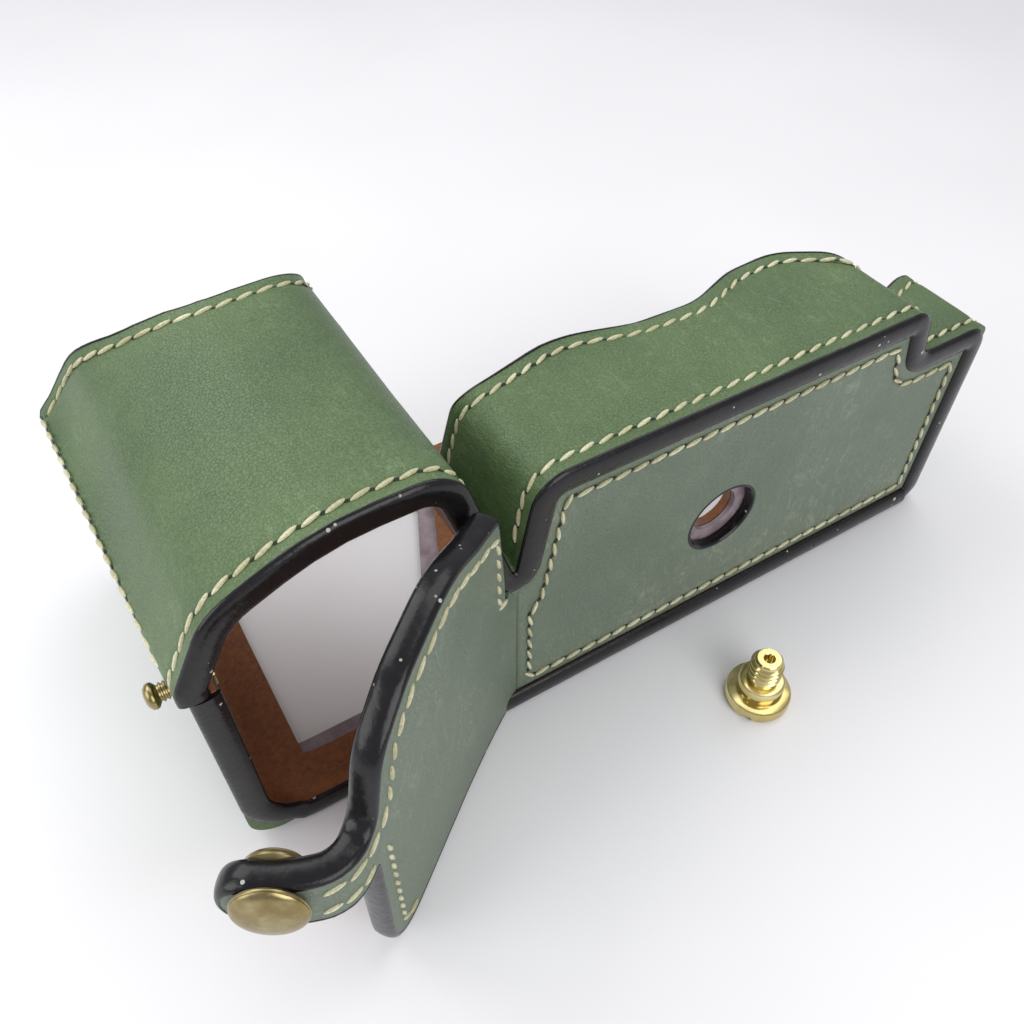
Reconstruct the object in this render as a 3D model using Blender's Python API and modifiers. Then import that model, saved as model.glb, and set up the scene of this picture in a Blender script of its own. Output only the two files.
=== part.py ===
"""Leather half case with hand grip for a rangefinder camera, with its tripod screw.

The case lies on its back: +Z points out of its front, +X runs along its length away from
the grip, +Y towards the camera's top.  It is drawn with the foot of the battery door's fold
at the origin and then moved, so that the origin ends up under the middle of its box.
"""
import math

import bmesh
import bpy
from mathutils import Matrix, Vector

MM = 0.001

# Leather and sewing
OUTER = 2.0 * MM          # outer leather
LINING = 1.7 * MM         # suede lining
GAP = 0.3 * MM            # between pieces that are glued or sewn face to face
WALL = OUTER + GAP + LINING
BOARD = 1.0 * MM          # stiffener boards
THREAD_R = 0.3 * MM
SEAM_IN = 3.4 * MM        # seam to edge
THREAD_LIFT = THREAD_R + GAP
PANEL_THREAD_LIFT = THREAD_LIFT + 0.1 * MM  # clear of a plate on the bottom panel

# Case, measured over the outer leather
LENGTH = 109.0 * MM       # from the door's fold to the right end
GRIP_WIDTH = 52.0 * MM    # from the door's fold to the left end
DEPTH = 68.0 * MM         # from the bottom panel to the far edge of the back
FRONT_TOP = 59.9 * MM     # height of the front bulge
STEP_TOP = 48.8 * MM      # height beside the bulge, at the right end
STEP_WIDTH = 19.5 * MM    # from the right end to the middle of the drop
GRIP_TOP = 69.8 * MM      # height of the grip
VALLEY = 39.4 * MM        # where the two sides of the crease beside the grip would meet
CREASE_ROUND = 0.5 * MM
SEAM_Z = 46.4 * MM        # the grip leather laps the left wall from here up
LEFT_ROUND = 12.0 * MM
RIGHT_ROUND = 5.0 * MM
EDGE_PROUD = 0.8 * MM     # painted wall edges stand out in front of the bottom panel

# Front strip's far edge, measured from the bottom
STRIP_HIGH = 28.6 * MM
STRIP_DIP = 24.7 * MM     # under the lens
STRIP_STEP = 20.8 * MM    # at the right end
GRIP_FAR_TOP = 56.5 * MM   # far edge of the grip at its top
GRIP_FAR_FOOT = 71.0 * MM  # and at its feet

# Back windows
WINDOW_NEAR = 8.5 * MM
WINDOW_FAR = 8.0 * MM     # width of the far margin
WINDOW_SIDE = 10.7 * MM   # width of the margin at the grip end
WINDOW_SLANT = 22.0 * MM  # how far the first window's right side leans
WINDOW_RIGHT = -8.0 * MM  # its near right corner
WINDOW_ROUND = 5.0 * MM
LEDGE = 3.8 * MM          # board seen past the lining
SCREEN_LEFT = 31.0 * MM
SCREEN_NEAR = 14.0 * MM
SCREEN_MARGIN = 13.0 * MM # to the right end

# Tripod hole, and the screw that goes in it
HOLE_X = 46.6 * MM
HOLE_Z = 27.7 * MM
FLANGE_R = 6.25 * MM
FLANGE_H = 2.6 * MM
SHOULDER_R = 4.4 * MM
SHOULDER_H = 3.7 * MM
NECK_R = 2.5 * MM
NECK_H = 1.0 * MM
SCREW_R = 3.175 * MM      # quarter inch thread
SCREW_H = 5.6 * MM
SCREW_BORE_R = 1.0 * MM
SCREW_BORE = 2.2 * MM
COIN_SLOT = 1.7 * MM
COIN_DEPTH = 1.2 * MM
HOLE_PLAY = 1.0 * MM      # round the flange
SHANK_PLAY = 0.5 * MM     # round the shoulder
SCREW_AT = (42.3 * MM, -22.8 * MM)

# Battery door
PIVOT_X = 0.5 * MM
DOOR_OPEN = 34.0          # degrees, as it lies open
DOOR_LIFT = 1.5 * MM      # lower edge above the table
DOOR_END = 46.5 * MM
DOOR_ROUND = 7.0 * MM
FOLD_GAP = 2.1 * MM       # leaf to hinge axis
FOLD_SHORT = 1.6 * MM     # fold to the crease above it
SLIT_TOP = 50.0 * MM
NOTCH_Z = 31.0 * MM

# Strap and snap
STRAP_W = 10.4 * MM
STRAP_BEND = 61.0         # degrees, as it lies
STRAP_SLACK = 2.8 * MM    # strap to wall when snapped
CREASE_GAP = 2.4 * MM     # each side of the strap's bend
STUD_Z = 43.2 * MM
STUD_Y = 6.0 * MM
STUD_BASE_R = 2.6 * MM
STUD_BASE = 0.5 * MM
STUD_NECK_R = 1.3 * MM
STUD_NECK = 2.4 * MM
STUD_HEAD_R = 2.1 * MM
STUD_HEAD = 2.0 * MM
CAP_R = 4.95 * MM
CAP_RISE = 1.3 * MM
CAP_RIM = 0.4 * MM
BARREL_WALL = 0.6 * MM
RING_R = 4.3 * MM
RING_H = 0.9 * MM
SPRING_R = 0.2 * MM

ARC_STEPS = 7             # straight pieces in each rounded corner

# Materials: base colour, roughness, metallic
GREEN = ("green_leather", (0.13, 0.22, 0.13), 0.45, 0.0)
GREY_GREEN = ("grey_green_leather", (0.16, 0.21, 0.17), 0.5, 0.0)
SUEDE = ("brown_suede", (0.13, 0.032, 0.008), 0.85, 0.0)
FIBRE = ("fibre_board", (0.36, 0.30, 0.32), 0.3, 0.0)
LINEN = ("waxed_thread", (0.72, 0.70, 0.42), 0.6, 0.0)
OLD_BRASS = ("old_brass", (0.27, 0.19, 0.06), 0.35, 1.0)
BRASS = ("polished_brass", (0.72, 0.56, 0.17), 0.2, 1.0)
STEEL = ("spring_steel", (0.5, 0.5, 0.5), 0.3, 1.0)

for old in list(bpy.data.objects):
    bpy.data.objects.remove(old, do_unlink=True)
case = bpy.data.collections.new("half_case")
cutters = bpy.data.collections.new("cutters")
bpy.context.scene.collection.children.link(case)
bpy.context.scene.collection.children.link(cutters)


def material(finish):
    name, colour, roughness, metallic = finish
    made = bpy.data.materials.get(name)
    if made is None:
        made = bpy.data.materials.new(name)
        made.use_nodes = True
        shader = made.node_tree.nodes["Principled BSDF"]
        shader.inputs["Base Color"].default_value = (*colour, 1.0)
        shader.inputs["Roughness"].default_value = roughness
        shader.inputs["Metallic"].default_value = metallic
    return made


def empty(name, place, parent=None):
    made = bpy.data.objects.new(name, None)
    made.location = place
    made.parent = parent
    case.objects.link(made)
    return made


def add(name, data, finish, parent, cutter=False):
    made = bpy.data.objects.new(name, data)
    (cutters if cutter else case).objects.link(made)
    if cutter:
        made.hide_render = True
        made.display_type = "WIRE"
    elif finish:
        data.materials.append(material(finish))
    made.parent = parent
    return made


# Outlines.  A corner is (across, up, radius).  A wall's path runs clockwise round the case,
# so its inner side is on the right, and the same corners give every layer of the wall.

def rounded(corners, closed):
    """The points of a path whose corners are arcs."""
    points = []
    count = len(corners)
    for i, (x, z, radius) in enumerate(corners):
        here = Vector((x, z))
        if not closed and i in (0, count - 1) or radius <= 0:
            points.append(here)
            continue
        back = Vector(corners[i - 1][:2]) - here
        ahead = Vector(corners[(i + 1) % count][:2]) - here
        half = back.angle(ahead) / 2
        reach = min(radius / math.tan(half), 0.49 * back.length, 0.49 * ahead.length)
        radius = reach * math.tan(half)
        middle = here + (back.normalized() + ahead.normalized()).normalized() * (radius / math.sin(half))
        start = here + back.normalized() * reach - middle
        turn = start.angle_signed(here + ahead.normalized() * reach - middle)
        for step in range(ARC_STEPS + 1):
            spun = Matrix.Rotation(-turn * step / ARC_STEPS, 2) @ start
            points.append(middle + spun)
    return points


def inset(corners, depth, closed=False):
    """The same corners, moved to the right of the path by depth."""
    count = len(corners)
    spots = [Vector(corner[:2]) for corner in corners]
    moved = []
    for i, (x, z, radius) in enumerate(corners):
        before = spots[i] - spots[i - 1] if closed or i > 0 else spots[1] - spots[0]
        after = spots[(i + 1) % count] - spots[i] if closed or i < count - 1 else before
        before.normalize()
        after.normalize()
        side = Vector((before.y + after.y, -before.x - after.x))
        side = side / side.length_squared * 2
        turn = before.cross(after)
        inner = radius + depth * (1 if turn > 0 else -1)
        spot = spots[i] + side * depth
        moved.append((spot.x, spot.y, max(inner, 0.3 * MM) if radius > 0 else 0))
    return moved


def layer(corners, outer, inner):
    """The closed section of one layer of a wall, from one depth to another."""
    return rounded(inset(corners, outer), False) + rounded(inset(corners, inner), False)[::-1]


def prism(name, outlines, low, high, axis, finish, parent, cutter=False):
    """Flat outlines (the first is the edge, the others are holes) made thick along an axis."""
    curve = bpy.data.curves.new(name, "CURVE")
    curve.dimensions = "2D"
    curve.fill_mode = "BOTH"
    curve.extrude = (high - low) / 2
    for outline in outlines:
        spline = curve.splines.new("POLY")
        spline.points.add(len(outline) - 1)
        for point, place in zip(spline.points, outline):
            point.co = (place[0], place[1], 0, 1)
        spline.use_cyclic_u = True
    shape = bpy.data.objects.new(name, curve)
    bpy.context.scene.collection.objects.link(shape)
    seen = shape.evaluated_get(bpy.context.evaluated_depsgraph_get())
    mesh = bpy.data.meshes.new_from_object(seen)
    bpy.data.objects.remove(shape)
    bpy.data.curves.remove(curve)
    work = bmesh.new()
    work.from_mesh(mesh)
    bmesh.ops.remove_doubles(work, verts=work.verts, dist=0.002 * MM)
    middle = (low + high) / 2
    if axis == "Y":
        turned_up = Matrix.Translation((0, middle, 0)) @ Matrix.Rotation(math.pi / 2, 4, "X")
    else:
        turned_up = Matrix.Translation((0, 0, middle))
    bmesh.ops.transform(work, matrix=turned_up, verts=work.verts)
    bmesh.ops.recalc_face_normals(work, faces=work.faces)
    work.to_mesh(mesh)
    work.free()
    mesh.name = name
    return add(name, mesh, finish, parent, cutter)


def boolean(piece, tool, operation):
    step = piece.modifiers.new(tool.name, "BOOLEAN")
    step.operation = operation
    step.object = tool


def turned(name, profile, place, axis, finish, parent, cutter=False):
    """A turned piece: the profile runs top to bottom as (radius, height)."""
    mesh = bpy.data.meshes.new(name)
    work = bmesh.new()
    ring = [work.verts.new((radius, 0, height)) for radius, height in profile]
    for one, other in zip(ring, ring[1:]):
        work.edges.new((one, other))
    work.to_mesh(mesh)
    work.free()
    made = add(name, mesh, finish, parent, cutter)
    spin = made.modifiers.new("turn", "SCREW")
    spin.steps = spin.render_steps = 32
    spin.use_merge_vertices = True
    spin.merge_threshold = 0.00001
    made.location = place
    made.rotation_mode = "QUATERNION"
    made.rotation_quaternion = Vector((0, 0, 1)).rotation_difference(Vector(axis))
    return made


def wire(name, points, radius, finish, parent, closed=False):
    curve = bpy.data.curves.new(name, "CURVE")
    curve.dimensions = "3D"
    curve.bevel_depth = radius
    curve.bevel_resolution = 1
    curve.use_fill_caps = not closed
    spline = curve.splines.new("POLY")
    spline.points.add(len(points) - 1)
    for point, place in zip(spline.points, points):
        point.co = (*place, 1)
    spline.use_cyclic_u = closed
    return add(name, curve, finish, parent)


def spread(points, spacing):
    """Points at an even spacing along a path."""
    out = [points[0].copy()]
    left = spacing
    for one, other in zip(points, points[1:]):
        span = (other - one).length
        at = left
        while at < span:
            out.append(one.lerp(other, at / span))
            at += spacing
        left = at - span
    if (out[-1] - points[-1]).length < spacing / 2:
        out.pop()
    out.append(points[-1].copy())
    return out


whole = empty("case_frame", (0, 0, 0))

# Section of the case, seen from its bottom: over the front, down each end and along the back.
LEFT = -GRIP_WIDTH
FOOT = (LEFT - 1.3 * MM, SEAM_Z, 0)
GRIP_CORNERS = [
    FOOT,
    (FOOT[0], SEAM_Z + 2.8 * MM, 5 * MM),
    (LEFT + 5.8 * MM, GRIP_TOP - 7.5 * MM, 14 * MM),
    (LEFT + 23 * MM, GRIP_TOP, 40 * MM),
    (-8.4 * MM, GRIP_TOP, 8.5 * MM),
]
FRONT_CORNERS = [
    (0.8 * MM, VALLEY, CREASE_ROUND),
    (4.6 * MM, FRONT_TOP, 7 * MM),
    (LENGTH - STEP_WIDTH - 1.3 * MM, FRONT_TOP, 5 * MM),
    (LENGTH - STEP_WIDTH + 1.3 * MM, STEP_TOP, 2.5 * MM),
    (LENGTH, STEP_TOP, RIGHT_ROUND),
]
RIGHT_SEAM = STEP_TOP - RIGHT_ROUND - 0.1 * MM
FRONT_END = (LENGTH, RIGHT_SEAM + GAP, 0)
OVER_FRONT = GRIP_CORNERS + FRONT_CORNERS + [FRONT_END]
BACK_LEFT = LEFT + LEFT_ROUND + 0.6 * MM
BACK_RIGHT = LENGTH - RIGHT_ROUND - 0.6 * MM
UP_LEFT = [(BACK_LEFT - GAP, 0, 0), (LEFT, 0, LEFT_ROUND), (LEFT, SEAM_Z - 2 * GAP, 0)]
DOWN_RIGHT = [(LENGTH, RIGHT_SEAM, 0), (LENGTH, 0, RIGHT_ROUND), (BACK_RIGHT + GAP, 0, 0)]

# Far edges, seen from above.
FRONT_EDGE = [
    (LENGTH + 2 * MM, STRIP_STEP, 0),
    (LENGTH - 4 * MM, STRIP_STEP, 4 * MM),
    (LENGTH - 16 * MM, STRIP_STEP - 4 * MM, 4 * MM),
    (LENGTH - 25 * MM, STRIP_DIP, 8 * MM),
    (LENGTH - 33 * MM, STRIP_HIGH + 0.8 * MM, 14 * MM),
    (LENGTH - 45 * MM, STRIP_HIGH, 14 * MM),
    (LENGTH - 56 * MM, STRIP_DIP - 0.4 * MM, 14 * MM),
    (LENGTH - 69 * MM, STRIP_DIP, 16 * MM),
    (LENGTH - 84 * MM, STRIP_HIGH + 0.4 * MM, 22 * MM),
    (7 * MM, STRIP_DIP - 0.4 * MM, 14 * MM),
    (0.8 * MM, STRIP_HIGH, 0),
]
GRIP_EDGE = [
    (-0.6 * MM, STRIP_HIGH + 1.2 * MM, 0),
    (-0.6 * MM, GRIP_FAR_FOOT, 2 * MM),
    (-10 * MM, GRIP_FAR_TOP, 8 * MM),
    (LEFT + 26 * MM, GRIP_FAR_TOP - 0.5 * MM, 20 * MM),
    (LEFT + 10 * MM, GRIP_FAR_TOP + 5.5 * MM, 20 * MM),
    (LEFT + 1 * MM, GRIP_FAR_FOOT, 4 * MM),
    (LEFT - 4 * MM, GRIP_FAR_FOOT + 1 * MM, 0),
]
NEAR = -EDGE_PROUD
ABOVE = GRIP_TOP + 20 * MM


def plan(name, back_off):
    """A cutter of the front's outline from above, back_off short of the far edges."""
    edge = rounded(inset(FRONT_EDGE, -back_off), False) + rounded(inset(GRIP_EDGE, -back_off), False)
    loop = [(LEFT - 6 * MM, -5 * MM), (LENGTH + 2 * MM, -5 * MM)] + edge
    return prism(name, [loop], -5 * MM, ABOVE, "Z", None, whole, cutter=True)


def wall(name, corners, outer, inner, far, finish):
    return prism(name, [layer(corners, outer, inner)], NEAR, far, "Y", finish, whole)


front_plan = plan("front_outline", 0)
lining_plan = plan("front_lining_outline", 0.4 * MM)
front_panel = wall("front_panel", OVER_FRONT, 0, OUTER, DEPTH + 12 * MM, GREEN)
front_lining = wall("front_lining", OVER_FRONT, OUTER + GAP, WALL, DEPTH + 12 * MM, SUEDE)
boolean(front_panel, front_plan, "INTERSECT")
boolean(front_lining, lining_plan, "INTERSECT")

# End walls.  The left one is as deep as the grip's foot; the right one slopes down to the back.
TAB_FAR = GRIP_FAR_FOOT + 2.0 * MM
wall("left_end_wall", UP_LEFT, 0, OUTER, TAB_FAR, GREEN)
wall("left_end_lining", UP_LEFT, OUTER + GAP, WALL, TAB_FAR - 0.4 * MM, SUEDE)
right_end_wall = wall("right_end_wall", DOWN_RIGHT, 0, OUTER, DEPTH, GREEN)
right_end_lining = wall("right_end_lining", DOWN_RIGHT, OUTER + GAP, WALL, DEPTH - 0.4 * MM, SUEDE)
slope = prism(
    "right_end_slope",
    [[(STRIP_STEP, STEP_TOP + 4 * MM), (STRIP_STEP, RIGHT_SEAM), (DEPTH - 3 * MM, 18 * MM),
      (DEPTH + 5 * MM, 16 * MM), (DEPTH + 5 * MM, STEP_TOP + 4 * MM)]],
    -LENGTH - 5 * MM, -BACK_RIGHT + 5 * MM, "Y", None, whole, cutter=True)
slope.rotation_euler = (0, 0, math.pi / 2)
boolean(right_end_wall, slope, "DIFFERENCE")
boolean(right_end_lining, slope, "DIFFERENCE")

# Back: leather, board and lining, with the window at the grip and the screen's window.
WINDOW_TOP = DEPTH - WINDOW_FAR
WINDOW = [
    (LEFT + WINDOW_SIDE, WINDOW_NEAR, WINDOW_ROUND),
    (LEFT + WINDOW_SIDE, WINDOW_TOP, WINDOW_ROUND),
    (WINDOW_RIGHT + WINDOW_SLANT, WINDOW_TOP, WINDOW_ROUND),
    (WINDOW_RIGHT, WINDOW_NEAR, WINDOW_ROUND),
]
BOARD_WINDOW = [
    (LEFT + WINDOW_SIDE - 1 * MM, WINDOW_NEAR + LEDGE, WINDOW_ROUND),
    (LEFT + WINDOW_SIDE - 1 * MM, WINDOW_TOP, WINDOW_ROUND),
    (WINDOW_RIGHT + WINDOW_SLANT - LEDGE, WINDOW_TOP, WINDOW_ROUND),
    (WINDOW_RIGHT - LEDGE, WINDOW_NEAR + LEDGE, WINDOW_ROUND),
]
SCREEN = [
    (SCREEN_LEFT, SCREEN_NEAR, WINDOW_ROUND),
    (SCREEN_LEFT, WINDOW_TOP, WINDOW_ROUND),
    (LENGTH - SCREEN_MARGIN, WINDOW_TOP, WINDOW_ROUND),
    (LENGTH - SCREEN_MARGIN, SCREEN_NEAR, WINDOW_ROUND),
]


def back_layer(name, low, thick, left, window, short, finish):
    """One layer of the back between its seams with the end walls, short of the edges by short."""
    edge = [(left, NEAR + short), (BACK_RIGHT, NEAR + short),
            (BACK_RIGHT, DEPTH - short), (left, DEPTH - short)]
    holes = [rounded(window, True), rounded(SCREEN, True)]
    return prism(name, [edge] + holes, low, low + thick, "Z", finish, whole)


BACK_BOARD = 0.4 * MM
LEATHER_BACK = OUTER - GAP - BACK_BOARD
back_layer("back_panel", 0, LEATHER_BACK, BACK_LEFT, BOARD_WINDOW, 0, GREEN)
back_layer("back_stiffener", LEATHER_BACK + GAP, BACK_BOARD, BACK_LEFT, BOARD_WINDOW, 2 * MM, FIBRE)
back_layer("back_lining", OUTER + GAP, LINING, BACK_LEFT, WINDOW, 0, SUEDE)

# Bottom panel, set between the wall edges.  It ends at the fold of the battery door.
PANEL_LEFT = 1.2 * MM
ROUND_RIGHT = GRIP_CORNERS[-1:] + FRONT_CORNERS + [(LENGTH, 0, RIGHT_ROUND), (LEFT, 0, 0)]


def panel_outline(margin):
    """The bottom panel's edge, margin inside the walls and the fold."""
    clear = WALL + GAP + margin
    left = PANEL_LEFT + margin
    line = rounded(inset(ROUND_RIGHT, clear), False)
    inside = []
    for one, other in zip(line, line[1:]):
        if (one.x < left) != (other.x < left):
            inside.append(one.lerp(other, (left - one.x) / (other.x - one.x)))
        if other.x >= left:
            inside.append(other)
    return inside


def circle(x, z, radius, count=48):
    turns = [2 * math.pi * i / count for i in range(count)]
    return [(x + radius * math.cos(a), z + radius * math.sin(a)) for a in turns]


panel_edge = panel_outline(0)
flange_hole = circle(HOLE_X, HOLE_Z, FLANGE_R + HOLE_PLAY)
shank_hole = circle(HOLE_X, HOLE_Z, SHOULDER_R + SHANK_PLAY)
inner_edge = panel_outline(0.3 * MM)
BOARD_Y = OUTER + GAP
PANEL_LINING_Y = BOARD_Y + BOARD + GAP
prism("bottom_panel", [panel_edge, flange_hole], 0, OUTER, "Y", GREY_GREEN, whole)
prism("bottom_board", [inner_edge, shank_hole], BOARD_Y, BOARD_Y + BOARD, "Y", FIBRE, whole)
prism("bottom_lining", [inner_edge, shank_hole], PANEL_LINING_Y, PANEL_LINING_Y + LINING, "Y",
      SUEDE, whole)

# Battery door, drawn shut and then turned open about the fold.
INNER_FACE = NEAR - GAP
OUTER_FACE = INNER_FACE - WALL
PIVOT = Vector((PIVOT_X, INNER_FACE, 0))
fold_low = WALL + GAP
fold_high = panel_edge[0].y - FOLD_SHORT
prism("door_fold",
      [[(PANEL_LEFT - GAP - 1.7 * MM, INNER_FACE + 0.1 * MM), (PANEL_LEFT - GAP, INNER_FACE + 0.1 * MM),
        (PANEL_LEFT - GAP, OUTER - 0.1 * MM), (PANEL_LEFT - GAP - 1.7 * MM, OUTER - 0.1 * MM)]],
      fold_low, fold_high, "Z", GREY_GREEN, whole)

door_hinge = empty("door_hinge", PIVOT, whole)
door = empty("door_closed_frame", -PIVOT, door_hinge)
STRAP_TOP = STUD_Z + STRAP_W / 2
STRAP_LOW = STUD_Z - STRAP_W / 2
STRAP_MID = (INNER_FACE + OUTER_FACE) / 2
STRAP_HINGE_X = LEFT - STRAP_SLACK - WALL / 2
TAB_END = STRAP_HINGE_X + CREASE_GAP
LEAF_END = PIVOT_X - DOOR_END
LEAF = [
    (PIVOT_X - FOLD_GAP, DOOR_LIFT, 0.5 * MM),
    (LEAF_END, DOOR_LIFT, DOOR_ROUND),
    (LEAF_END, NOTCH_Z, 0.8 * MM),
    (LEAF_END - 4 * MM, STRAP_LOW, 3 * MM),
    (TAB_END, STRAP_LOW, 0),
    (TAB_END, STRAP_TOP, 0),
    (LEAF_END - 1 * MM, STRAP_TOP + 0.5 * MM, 5 * MM),
    (LEAF_END + 5.5 * MM, GRIP_TOP - 4.5 * MM, 14 * MM),
    (LEFT + 23 * MM, GRIP_TOP + 0.4 * MM, 30 * MM),
    (-8.4 * MM, GRIP_TOP, 8.5 * MM),
    (PIVOT_X - FOLD_GAP - 0.8 * MM, SLIT_TOP, 1.5 * MM),
]
leaf_edge = rounded(LEAF, True)
LINING_OUT = INNER_FACE - LINING
LEATHER_IN = OUTER_FACE + OUTER
prism("door_lining", [leaf_edge], LINING_OUT, INNER_FACE, "Y", SUEDE, door)
prism("door_outer", [leaf_edge], OUTER_FACE, LEATHER_IN, "Y", GREY_GREEN, door)
door_hinge.rotation_euler = (0, 0, math.radians(DOOR_OPEN))

# Strap, drawn straight out from the door and then bent inwards about its crease.
strap_hinge = empty("strap_hinge", (STRAP_HINGE_X, STRAP_MID, 0), door)
strap = empty("strap_straight_frame", (-STRAP_HINGE_X, -STRAP_MID, 0), strap_hinge)
SNAP_X = STRAP_HINGE_X - (STUD_Y - STRAP_MID)
BARREL_R = STUD_HEAD_R + GAP + BARREL_WALL
tip_count = 14
tip = [(SNAP_X - STRAP_W / 2 * math.sin(math.pi * i / tip_count),
        STUD_Z - STRAP_W / 2 * math.cos(math.pi * i / tip_count)) for i in range(tip_count + 1)]
strap_edge = [(STRAP_HINGE_X - CREASE_GAP, STRAP_LOW)] + tip + [(STRAP_HINGE_X - CREASE_GAP, STRAP_TOP)]
barrel_hole = circle(SNAP_X, STUD_Z, BARREL_R + GAP, 28)
prism("strap_lining", [strap_edge, barrel_hole], LINING_OUT, INNER_FACE, "Y", SUEDE, strap)
prism("strap_outer", [strap_edge, barrel_hole], OUTER_FACE, LEATHER_IN, "Y", GREEN, strap)
strap_hinge.rotation_euler = (0, 0, math.radians(-STRAP_BEND))

# Snap: domed cap with its barrel through the strap, a ring on the inside, and the spring.
CAP_BACK = OUTER_FACE - GAP
barrel_end = CAP_BACK - INNER_FACE - 0.4 * MM
dome = [(CAP_R * math.sin(a), CAP_RIM + CAP_RISE * math.cos(a))
        for a in [math.pi / 2 * i / 8 for i in range(9)]]
turned("snap_cap",
       [(0, dome[0][1])] + dome[1:] + [(CAP_R, 0), (BARREL_R, 0), (BARREL_R, barrel_end),
                                       (BARREL_R - BARREL_WALL, barrel_end),
                                       (BARREL_R - BARREL_WALL, 0.2 * MM), (0, 0.2 * MM)],
       (SNAP_X, CAP_BACK, STUD_Z), (0, -1, 0), OLD_BRASS, strap)
ring_in = BARREL_R + GAP
turned("snap_socket",
       [(ring_in, RING_H - 0.3 * MM), (ring_in + 0.4 * MM, RING_H), (RING_R - 0.5 * MM, RING_H),
        (RING_R, RING_H - 0.6 * MM), (RING_R, 0), (ring_in, 0), (ring_in, RING_H - 0.3 * MM)],
       (SNAP_X, INNER_FACE + GAP, STUD_Z), (0, 1, 0), OLD_BRASS, strap)
spring_r = (STUD_NECK_R + STUD_HEAD_R) / 2 + SPRING_R
spring_y = STRAP_MID + (STRAP_HINGE_X - LEFT + STUD_BASE + GAP + STUD_NECK * 0.55) * -1
spring_ring = [Vector((SNAP_X + spring_r * math.cos(a), spring_y, STUD_Z + spring_r * math.sin(a)))
               for a in [2 * math.pi * i / 24 for i in range(24)]]
wire("snap_spring", spring_ring, SPRING_R, STEEL, strap, closed=True)

# Stud on the left wall, and its washer inside.
base_top = STUD_BASE
neck_top = base_top + STUD_NECK
head_top = neck_top + STUD_HEAD
turned("snap_stud",
       [(0, head_top), (STUD_HEAD_R * 0.55, head_top - 0.1 * MM), (STUD_HEAD_R * 0.87, head_top - 0.45 * MM),
        (STUD_HEAD_R, head_top - STUD_HEAD * 0.5), (STUD_HEAD_R * 0.87, neck_top + 0.35 * MM),
        (STUD_NECK_R, neck_top), (STUD_NECK_R, base_top), (STUD_BASE_R, base_top),
        (STUD_BASE_R, 0), (0, 0)],
       (LEFT - GAP, STUD_Y, STUD_Z), (-1, 0, 0), OLD_BRASS, whole)
WASHER_H = 0.5 * MM
turned("stud_washer",
       [(STUD_NECK_R, WASHER_H), (STUD_BASE_R, WASHER_H), (STUD_BASE_R, 0), (STUD_NECK_R, 0),
        (STUD_NECK_R, WASHER_H)],
       (LEFT + WALL + GAP, STUD_Y, STUD_Z), (1, 0, 0), OLD_BRASS, whole)

# Tripod screw, standing on its flange.
shoulder_top = FLANGE_H + SHOULDER_H
neck_end = shoulder_top + NECK_H
screw_top = neck_end + SCREW_H
screw = turned(
    "tripod_screw",
    [(0, screw_top - SCREW_BORE), (SCREW_BORE_R, screw_top - SCREW_BORE), (SCREW_BORE_R, screw_top),
     (SCREW_R - 0.8 * MM, screw_top), (SCREW_R, screw_top - 0.8 * MM), (SCREW_R, neck_end),
     (NECK_R, neck_end), (NECK_R, shoulder_top), (SHOULDER_R - 0.3 * MM, shoulder_top),
     (SHOULDER_R, shoulder_top - 0.3 * MM), (SHOULDER_R, FLANGE_H), (FLANGE_R - 0.5 * MM, FLANGE_H),
     (FLANGE_R, FLANGE_H - 0.5 * MM), (FLANGE_R, 0.5 * MM), (FLANGE_R - 0.5 * MM, 0), (0, 0)],
    (*SCREW_AT, 0), (0, 0, 1), BRASS, whole)
slot = prism("coin_slot",
             [[(-FLANGE_R * 1.2, -COIN_SLOT / 2), (FLANGE_R * 1.2, -COIN_SLOT / 2),
               (FLANGE_R * 1.2, COIN_SLOT / 2), (-FLANGE_R * 1.2, COIN_SLOT / 2)]],
             -COIN_DEPTH, COIN_DEPTH, "Z", None, whole, cutter=True)
slot.location = (*SCREW_AT, 0)
slot.rotation_euler = (0, 0, math.radians(30))
boolean(screw, slot, "DIFFERENCE")

# Sewing threads, as plain wires on the leather along each seam.
SEAM_STEP = 5 * MM


def sewn(name, corners, y):
    line = rounded(inset(corners, -THREAD_LIFT), False)
    wire(name, [Vector((p.x, y, p.y)) for p in line], THREAD_R, LINEN, whole)


GRIP_SEAM = [(FOOT[0], FOOT[1] + 1 * MM, 0)] + GRIP_CORNERS[1:] + [(-1.2 * MM, VALLEY + 7 * MM, 0)]
FRONT_SEAM = [(2.5 * MM, VALLEY + 9 * MM, 0)] + FRONT_CORNERS[1:] + [(LENGTH, RIGHT_SEAM, 0)]
sewn("grip_mouth_thread", GRIP_SEAM, SEAM_IN)
sewn("front_near_thread", FRONT_SEAM, SEAM_IN)


def over(corners, x):
    """Height of a wall's outer side above a place along the case."""
    points = rounded(inset(corners, -THREAD_LIFT), False)
    for one, other in zip(points, points[1:]):
        if min(one.x, other.x) <= x <= max(one.x, other.x) and one.x != other.x:
            return one.y + (other.y - one.y) * (x - one.x) / (other.x - one.x)
    return points[-1].y


def sewn_far(name, edge, section, first, last):
    """A thread along a far edge, lying on the section's surface."""
    line = rounded(inset(edge, -SEAM_IN), False)
    line = [p for p in spread(line, 2.5 * MM) if first < p.x < last]
    wire(name, [Vector((p.x, p.y, over(section, p.x))) for p in line], THREAD_R, LINEN, whole)


sewn_far("front_far_thread", FRONT_EDGE, GRIP_CORNERS[-1:] + FRONT_CORNERS + [FRONT_END], 6 * MM,
         LENGTH - STEP_WIDTH - 6 * MM)
sewn_far("grip_far_thread", GRIP_EDGE, GRIP_CORNERS + FRONT_CORNERS[:1], LEFT + 3 * MM, -9 * MM)

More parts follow.
